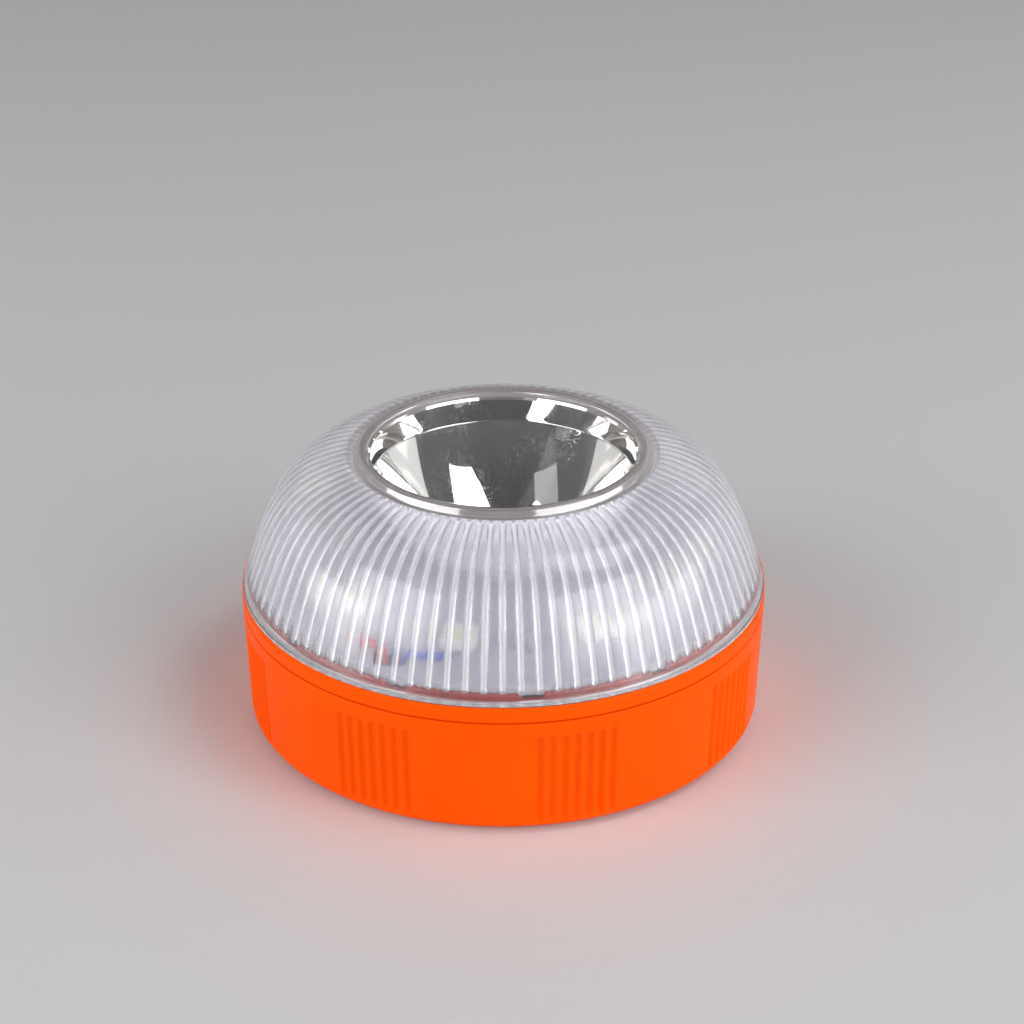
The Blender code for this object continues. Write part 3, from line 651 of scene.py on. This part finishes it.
def bowl(material, back):
    """Torch reflector: straight wall, crease and parabolic bowl, with a dull back."""
    radii = np.linspace(BOWL_HOLE, CREASE_RADIUS - CREASE_FILLET, BOWL_POINTS)
    share = (radii**2 - BOWL_HOLE**2) / (CREASE_RADIUS**2 - BOWL_HOLE**2)
    inside = np.stack([radii, BOWL_BOTTOM + share * (CREASE_HEIGHT - BOWL_BOTTOM)], 1)
    outside = inset(inside, -REFLECTOR_WALL)
    outside = outside[outside[:, 1] > BOWL_BOTTOM + 0.6]
    collar = LIP_BORE - 0.3
    shoulder_foot = SHOULDER_TOP - SHOULDER_THICKNESS
    top = [
        (RIM_RADIUS + 0.14, RIM_TOP), (collar, RIM_TOP), (collar, SHOULDER_TOP),
        (SHOULDER_RADIUS, SHOULDER_TOP), (SHOULDER_RADIUS, shoulder_foot),
        (SHOULDER_FOOT, shoulder_foot - SHOULDER_TAPER),
    ]
    profile = rounded(top, (0, 0, 0.05, 0.15, 0.15, 0.3), 3)
    profile += [tuple(p) for p in outside[::-1]]
    profile += [(NECK_RADIUS, outside[0][1]), (NECK_RADIUS, NECK_BOTTOM), (BOWL_HOLE, NECK_BOTTOM)]
    profile += [tuple(p) for p in inside]
    turn = np.linspace(0, math.pi / 2, 7)[1:]
    fillet = np.stack([np.sin(turn), 1 - np.cos(turn)], 1) * CREASE_FILLET + inside[-1]
    profile += [tuple(p) for p in fillet]
    profile += dense([tuple(fillet[-1]), (RIM_RADIUS - 0.06, RIM_TOP - 0.4)], 0.5)[1:]
    made = turned("mirror_bowl", profile, material, columns=360, angle=20)
    made.visible_shadow = False
    made.data.materials.append(back)
    for polygon in made.data.polygons:
        outwards = polygon.normal.xy.dot(polygon.center.xy)
        polygon.material_index = int(outwards > 0 and polygon.center.z < LIP_UNDERSIDE * MM)
    keep(made, "lamp", "chrome", "reflector")


def groove_depth(azimuth):
    """Depth of the grip grooves across the turn, from 0 to 1."""
    away = (azimuth - GRIP_FIRST + GRIP_LEAD) % 360.0 - GRIP_LEAD
    group = away - np.clip(np.round(away / GRIP_STEP), -GRIP_REACH, GRIP_REACH - 1) * GRIP_STEP
    which = np.clip(np.round(group / GROOVE_PITCH), -(GROOVES // 2), GROOVES // 2)
    across = np.clip(np.abs(group - which * GROOVE_PITCH) / GROOVE_HALF, 0, 1)
    return np.cos(across * math.pi / 2) ** 1.5


def cup(material):
    """Twist-off cup with grip grooves, pockets for pad and magnet, the button's guide, and thread ridges."""
    pad_inner, pad_outer, pad_ceiling = PAD_POCKET
    magnet_inner, magnet_outer, magnet_ceiling = MAGNET_POCKET
    seat_radius, seat_height = SEAL_SEAT
    corners = [
        (BASE_RADIUS, CUP_MOUTH), (FOOT_RADIUS, CUP_BOTTOM),
        (pad_outer, CUP_BOTTOM), (pad_outer, pad_ceiling), (pad_inner, pad_ceiling), (pad_inner, CUP_BOTTOM),
        (magnet_outer, CUP_BOTTOM), (magnet_outer, magnet_ceiling),
        (magnet_inner, magnet_ceiling), (magnet_inner, CUP_BOTTOM),
        (BUTTON_OPENING, CUP_BOTTOM), (BUTTON_OPENING, OPENING_TOP), (GUIDE_BORE, OPENING_TOP),
        (GUIDE_BORE, BOSS_TOP), (BOSS_OUTER, BOSS_TOP), (BOSS_OUTER, CUP_FLOOR), (CUP_BORE, CUP_FLOOR),
        (CUP_BORE, seat_height), (seat_radius, seat_height), (seat_radius, CUP_MOUTH),
    ]
    radii = [0.2, 1.1, 0.2, 0, 0, 0.2, 0.2, 0, 0, 0.2, 0.25, 0, 0, 0.2, 0.3, 0.3, 0.8, 0.1, 0, 0.1]
    profile = rounded(corners, radii, 4)
    wall = max(range(len(profile) - 1), key=lambda i: profile[i][1] - profile[i + 1][1])
    profile = profile[:wall] + dense(profile[wall : wall + 2], 0.4) + profile[wall + 2 :]

    def gripped(r, z, azimuth):
        outside = r > FOOT_RADIUS - 0.75
        ends = np.clip(np.minimum(z - GROOVE_BOTTOM, GROOVE_TOP - z) / GROOVE_FADE, 0, 1)
        fade = np.sqrt(1 - (1 - ends) ** 2)
        return r - np.where(outside, GROOVE_DEPTH * fade * groove_depth(azimuth), 0), z

    made = turned("grip_cup", profile, material, columns=1440, shape=gripped, angle=40)
    base = THREAD_BASE + (THREAD_LEAD / THREAD_STARTS / 2 + THREAD_LEAD * THREAD_LAG / 360)
    combine(made, ridges("cup_ridges", CUP_RIDGE, THREAD_START + THREAD_LAG, base, material), "UNION")
    keep(made, "cup", "orange_plastic", "base_cup")


def housing(material, shaded):
    """Ring under the dome with the threaded skirt and the bulkhead; its faces under the dome take a darker
    orange, painted shade.
    """
    rim_inner, rim_outer, rim_top = LOCATING_RIM
    groove_inner, groove_outer, groove_bottom = SEAL_GROOVE
    corners = [
        (BASE_RADIUS, HOUSING_TOP), (BASE_RADIUS, SEAM_TOP), (SKIRT_RADIUS, SEAM_TOP),
        (SKIRT_RADIUS, SKIRT_BOTTOM), (SKIRT_INNER, SKIRT_BOTTOM), (SKIRT_INNER, BULKHEAD_BOTTOM),
        (BULKHEAD_BORE, BULKHEAD_BOTTOM), (BULKHEAD_BORE, BULKHEAD_TOP), (BULKHEAD_EDGE, BULKHEAD_TOP),
        (BULKHEAD_EDGE, STEP_TOP), (rim_inner, STEP_TOP), (rim_inner, rim_top), (rim_outer, rim_top),
        (rim_outer, HOUSING_TOP), (groove_inner, HOUSING_TOP), (groove_inner, groove_bottom),
        (groove_outer, groove_bottom), (groove_outer, HOUSING_TOP),
    ]
    radii = [0.3, 0.2, 0.2, 0.2, 0.2, 0.3, 0.1, 0.1, 0.2, 0.2, 0.3, 0.15, 0.15, 0.1, 0, 0, 0, 0]
    profile = rounded(corners, radii, 3)

    def notched(r, z, azimuth):
        step = 360.0 / NOTCH_COUNT
        away = np.abs((azimuth - NOTCH_FIRST + step / 2) % step - step / 2)
        cut = np.clip((NOTCH_HALF - away) / NOTCH_SLOPE, 0, 1) * NOTCH_DEPTH
        rim = (z > HOUSING_TOP + 0.3) & (r > rim_inner - 0.5) & (r < rim_outer + 0.2)
        return r, np.where(rim, z - np.minimum(cut, z - NOTCH_FLOOR), z)

    made = turned("ring_housing", profile, material, columns=720, shape=notched, angle=40)
    posts = [tuple(azimuth_point(POST_RADIUS, a)[:2]) for a in POST_AZIMUTHS] + TRAY_SCREWS
    lead_hole = (*BOSS_HOLE[:2], LEAD_HOLE_RADIUS)
    combine(made, ridges("skirt_ridges", SKIRT_RIDGE, THREAD_START, THREAD_BASE, material), "UNION")
    combine(made, rods("bosses", posts, *BOSS, material), "UNION")
    combine(made, rods("boss_holes", posts, *BOSS_HOLE, material), "DIFFERENCE")
    combine(made, rods("lead_hole", [LEAD_HOLE_PLACE], *lead_hole, material), "DIFFERENCE")
    made.data.materials.append(shaded)
    # Painted shade: faces round the locating rim under the dome take the darker orange
    for polygon in made.data.polygons:
        radius, height = polygon.center.xy.length / MM, polygon.center.z / MM
        polygon.material_index = int(height > BULKHEAD_TOP - 0.2 and radius < rim_outer + 0.4)
    keep(made, "lamp", "orange_plastic", "housing_ring")


def led(index, azimuth, case, phosphor):
    """Square white package with a round cavity full of phosphor."""
    mesh = bmesh.new()
    size = [side * MM for side in SIDE_LED_SIZE]
    bmesh.ops.create_cube(mesh, size=1.0, matrix=Matrix.Diagonal((*size, 1.0)))
    bmesh.ops.bevel(mesh, geom=mesh.edges, offset=SIDE_LED_BEVEL * MM, segments=2, affect="EDGES",
                    clamp_overlap=True)
    made = bmesh_object(f"led_{index}", mesh, case)
    smooth(made)
    combine(made, rods("cavity", [(0, 0)], *CAVITY, case), "DIFFERENCE")
    place = azimuth_point(SIDE_LED_RADIUS, azimuth, BOARD_TOP + SIDE_LED_LIFT)
    made.matrix_world = Matrix.Translation(place * MM) @ Matrix.Rotation(math.radians(azimuth), 4, "Z")
    keep(made, "lamp", "led_case", f"side_led_{index}")
    section = rounded(PHOSPHOR_SECTION, (0, 0.05, 0, 0))
    fill = turned(f"phosphor_{index}", section, phosphor, columns=48, ring=False)
    fill.matrix_world = made.matrix_world.copy()
    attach(fill, "lamp")


def return_spring(material):
    """Conical coil between the button's flange and its retainer."""
    share = np.linspace(0, 1, SPRING_STEPS + 1)[:, None]
    angle = share * SPRING_TURNS * 2 * math.pi
    section = np.arange(SPRING_SIDES)[None] * 2 * math.pi / SPRING_SIDES
    r = SPRING_RADII[0] + (SPRING_RADII[1] - SPRING_RADII[0]) * share + SPRING_WIRE * np.cos(section)
    z = SPRING_ENDS[0] + (SPRING_ENDS[1] - SPRING_ENDS[0]) * share + SPRING_WIRE * np.sin(section)
    vertices = np.stack([r * np.cos(angle), r * np.sin(angle), z], -1).reshape(-1, 3) * MM
    index = np.arange(SPRING_SIDES * (SPRING_STEPS + 1)).reshape(-1, SPRING_SIDES)
    after = np.roll(index, -1, 1)
    faces = np.stack([index[:-1], after[:-1], after[1:], index[1:]], -1).reshape(-1, 4).tolist()
    faces += [index[0][::-1].tolist(), index[-1].tolist()]
    made = mesh_object("return_spring", vertices.tolist(), faces, material)
    keep(made, "button", "steel", "button_spring")
    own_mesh(made)


def paint(material, *names):
    """Gives CAD nodes their finish."""
    for name in names:
        node = frame["nodes"][name]
        node.data.materials.clear()
        node.data.materials.append(material)
        for polygon in node.data.polygons:
            polygon.material_index = 0


# ---------------------------------------------------------------- stage

def camera():
    data = bpy.data.cameras.new("camera")
    data.lens = LENS
    data.sensor_width = SENSOR_WIDTH
    data.clip_start = 0.01
    made = add_object("camera", data)
    made.location = Vector(CAMERA_PLACE) * MM
    made.rotation_euler = Euler((math.radians(90 - CAMERA_PITCH), math.radians(CAMERA_ROLL), 0.0))
    bpy.context.scene.camera = made


def floor():
    m = Nodes("floor")
    m.base_colour(m.noise(3, 2), [(0.3, (0.74, 0.74, 0.75)), (0.7, (0.76, 0.76, 0.77))])
    m.set(Roughness=0.6)
    sides = ((-1, -1), (1, -1), (1, 1), (-1, 1))
    corners = [(x * FLOOR_HALF, y * FLOOR_HALF, -FLOOR_DROP * MM) for x, y in sides]
    made = mesh_object("floor", corners, [[0, 1, 2, 3]], m.material)


def direction(azimuth, elevation):
    a, e = math.radians(azimuth), math.radians(elevation)
    return Vector((math.sin(a) * math.cos(e), -math.cos(a) * math.cos(e), math.sin(e)))


def panel(name, azimuth, elevation, width, height, radiance):
    """A soft rectangular panel that faces the dome."""
    data = bpy.data.lights.new(name, "AREA")
    data.shape = "RECTANGLE"
    data.size, data.size_y = width, height
    data.energy = radiance * 4 * width * height  # a lamp's radiance is its energy over four times its area
    made = add_object(name, data)
    away = direction(azimuth, elevation)
    made.location = away * PANEL_DISTANCE + Vector((0, 0, DOME_MIDDLE * MM))
    made.rotation_euler = away.to_track_quat("Z", "Y").to_euler()
    made.visible_camera = False


def softbox(name, radiance, distance, corners):
    """A glowing sheet round the dome, with the corners given."""
    m = Nodes(name)
    m.set(Base_Color=(0, 0, 0, 1), Specular_IOR_Level=0.0)
    m.set(Emission_Color=(1, 1, 1, 1), Emission_Strength=radiance)
    middle = Vector((0, 0, DOME_MIDDLE * MM))
    points = [direction(*corner) * distance + middle for corner in corners]
    made = mesh_object(name, points, [list(range(len(points)))], m.material)
    made.visible_camera = False


def world():
    made = bpy.data.worlds.new("studio")
    made.use_nodes = True
    tree = made.node_tree
    coordinate = tree.nodes.new("ShaderNodeTexCoord")
    split = tree.nodes.new("ShaderNodeSeparateXYZ")
    ramp = tree.nodes.new("ShaderNodeValToRGB")
    tree.links.new(coordinate.outputs["Generated"], split.inputs[0])
    tree.links.new(split.outputs["Z"], ramp.inputs["Fac"])
    fill_ramp(ramp, [(where, (value, value, value)) for where, value in WORLD_STOPS])
    tree.links.new(ramp.outputs["Color"], tree.nodes["Background"].inputs["Color"])
    bpy.context.scene.world = made


def lights():
    for row in PANELS:
        panel(*row)
    for row in SOFTBOXES:
        softbox(*row)


# ---------------------------------------------------------------- assembly

camera()
world()
lights()
floor()
bpy.context.scene.view_settings.view_transform = "Standard"

ORANGE = orange_plastic()
CLEAR = clear_plastic("clear_pc", (0.93, 0.92, 0.96), (0.95, 0.94, 0.97),
                      clarity=0.98, rough=0.16, relief=0.000001, gloss=0.1)
FROSTED = clear_plastic("clear_pc_inside", (0.66, 0.66, 0.72), (0.8, 0.8, 0.85),
                        clarity=0.88, rough=0.2, relief=0.00003, gloss=0.08, grain=2400)
# Rib crests: a whiter, milkier copy of the inner plastic, painted highlight for the bright lines the ribs
# catch
RIB_HIGHLIGHT = clear_plastic("clear_pc_rib_highlight", (0.8, 0.8, 0.81), (0.97, 0.97, 0.97),
                     clarity=0.72, rough=0.25, relief=0.00004, gloss=0.25, grain=3000)
MILKY = clear_plastic("clear_pc_lip", (0.36, 0.33, 0.335), (0.44, 0.41, 0.415),
                      clarity=0.6, rough=0.15, relief=0.00001, gloss=0.7)
POLISHED = clear_plastic("clear_pc_lip_face", (0.4, 0.37, 0.375), (0.48, 0.45, 0.455),
                         clarity=0.6, rough=0.15, relief=0.00001, gloss=0.7, coat=1.0)
WINDOW = clear_plastic("clear_window", (0.97, 0.97, 0.97), (0.99, 0.99, 0.99),
                       clarity=1.0, rough=0.01, relief=0.0000005, gloss=0.25, ior=1.25)
BACKING = plain("reflector_back", (0.72, 0.72, 0.75), (0.79, 0.79, 0.82), (0.6, 0.7), 150, gloss=0.05)
CHROME = chrome()
CASE = plain("led_package", (0.56, 0.56, 0.56), (0.62, 0.62, 0.61), (0.3, 0.4))
PHOSPHOR = plain("led_phosphor", (0.56, 0.54, 0.36), (0.62, 0.6, 0.42), (0.25, 0.35))
# A darker orange for the housing's faces under the dome: painted shade
SHADED_ORANGE = plain("orange_abs_painted_shade", (0.15, 0.006, 0.003), (0.25, 0.011, 0.005), (0.45, 0.6))
BOARD = plain("board_mask", (0.31, 0.31, 0.35), (0.36, 0.36, 0.4), (0.5, 0.6), 120, gloss=0.2)
CHIP = plain("moulding_compound", (0.02, 0.02, 0.02), (0.045, 0.045, 0.045), (0.45, 0.6))
STEEL = plain("nickel_plate", (0.55, 0.55, 0.56), (0.7, 0.7, 0.7), (0.2, 0.35), metallic=1.0)
RUBBER = plain("black_rubber", (0.018, 0.018, 0.018), (0.035, 0.035, 0.035), (0.6, 0.8), relief=0.00003)
TRAY = plain("tray_abs", (0.035, 0.035, 0.038), (0.06, 0.06, 0.065), (0.4, 0.55))
JACKET = plain("cell_jacket", (0.07, 0.13, 0.28), (0.1, 0.17, 0.33), (0.25, 0.35))
MAGNET = plain("magnet_plate", (0.5, 0.5, 0.51), (0.66, 0.66, 0.67), (0.2, 0.32), metallic=1.0)
SILICONE = plain("red_silicone", (0.13, 0.008, 0.008), (0.18, 0.012, 0.01), (0.4, 0.55))
RED = plain("red_lead", (0.42, 0.008, 0.016), (0.55, 0.02, 0.022), (0.3, 0.4))
BLUE = plain("blue_lead", (0.02, 0.035, 0.25), (0.03, 0.06, 0.38), (0.3, 0.4))

dome(CLEAR, FROSTED, RIB_HIGHLIGHT, MILKY, POLISHED)
window(WINDOW, MILKY)
bowl(CHROME, BACKING)
cup(ORANGE)
housing(ORANGE, SHADED_ORANGE)
for number in range(SIDE_LED_COUNT):
    led(number + 1, SIDE_LED_FIRST + 360.0 / SIDE_LED_COUNT * number, CASE, PHOSPHOR)
return_spring(STEEL)

paint(CASE, "torch_led", "tact_plunger")
paint(PHOSPHOR, "torch_led_lens", "capacitor")
paint(BOARD, "led_board")
paint(CHIP, "driver_chip", "boost_coil", "tact_switch")
paint(STEEL, *[f"{kind}_{i}" for kind in ("board_screw", "tray_screw", "cell_spring") for i in (1, 2, 3)])
paint(STEEL, "contact_negative", "contact_positive", "contact_bridge_left", "contact_bridge_right")
paint(RUBBER, "rubber_pad", "cup_seal", "power_button")
paint(SILICONE, "dome_seal")
paint(TRAY, "battery_tray", "button_retainer")
paint(JACKET, *[f"battery_cell_{i}" for i in (1, 2, 3)])
paint(MAGNET, "ring_magnet")
paint(RED, "red_wire")
paint(BLUE, "blue_wire")
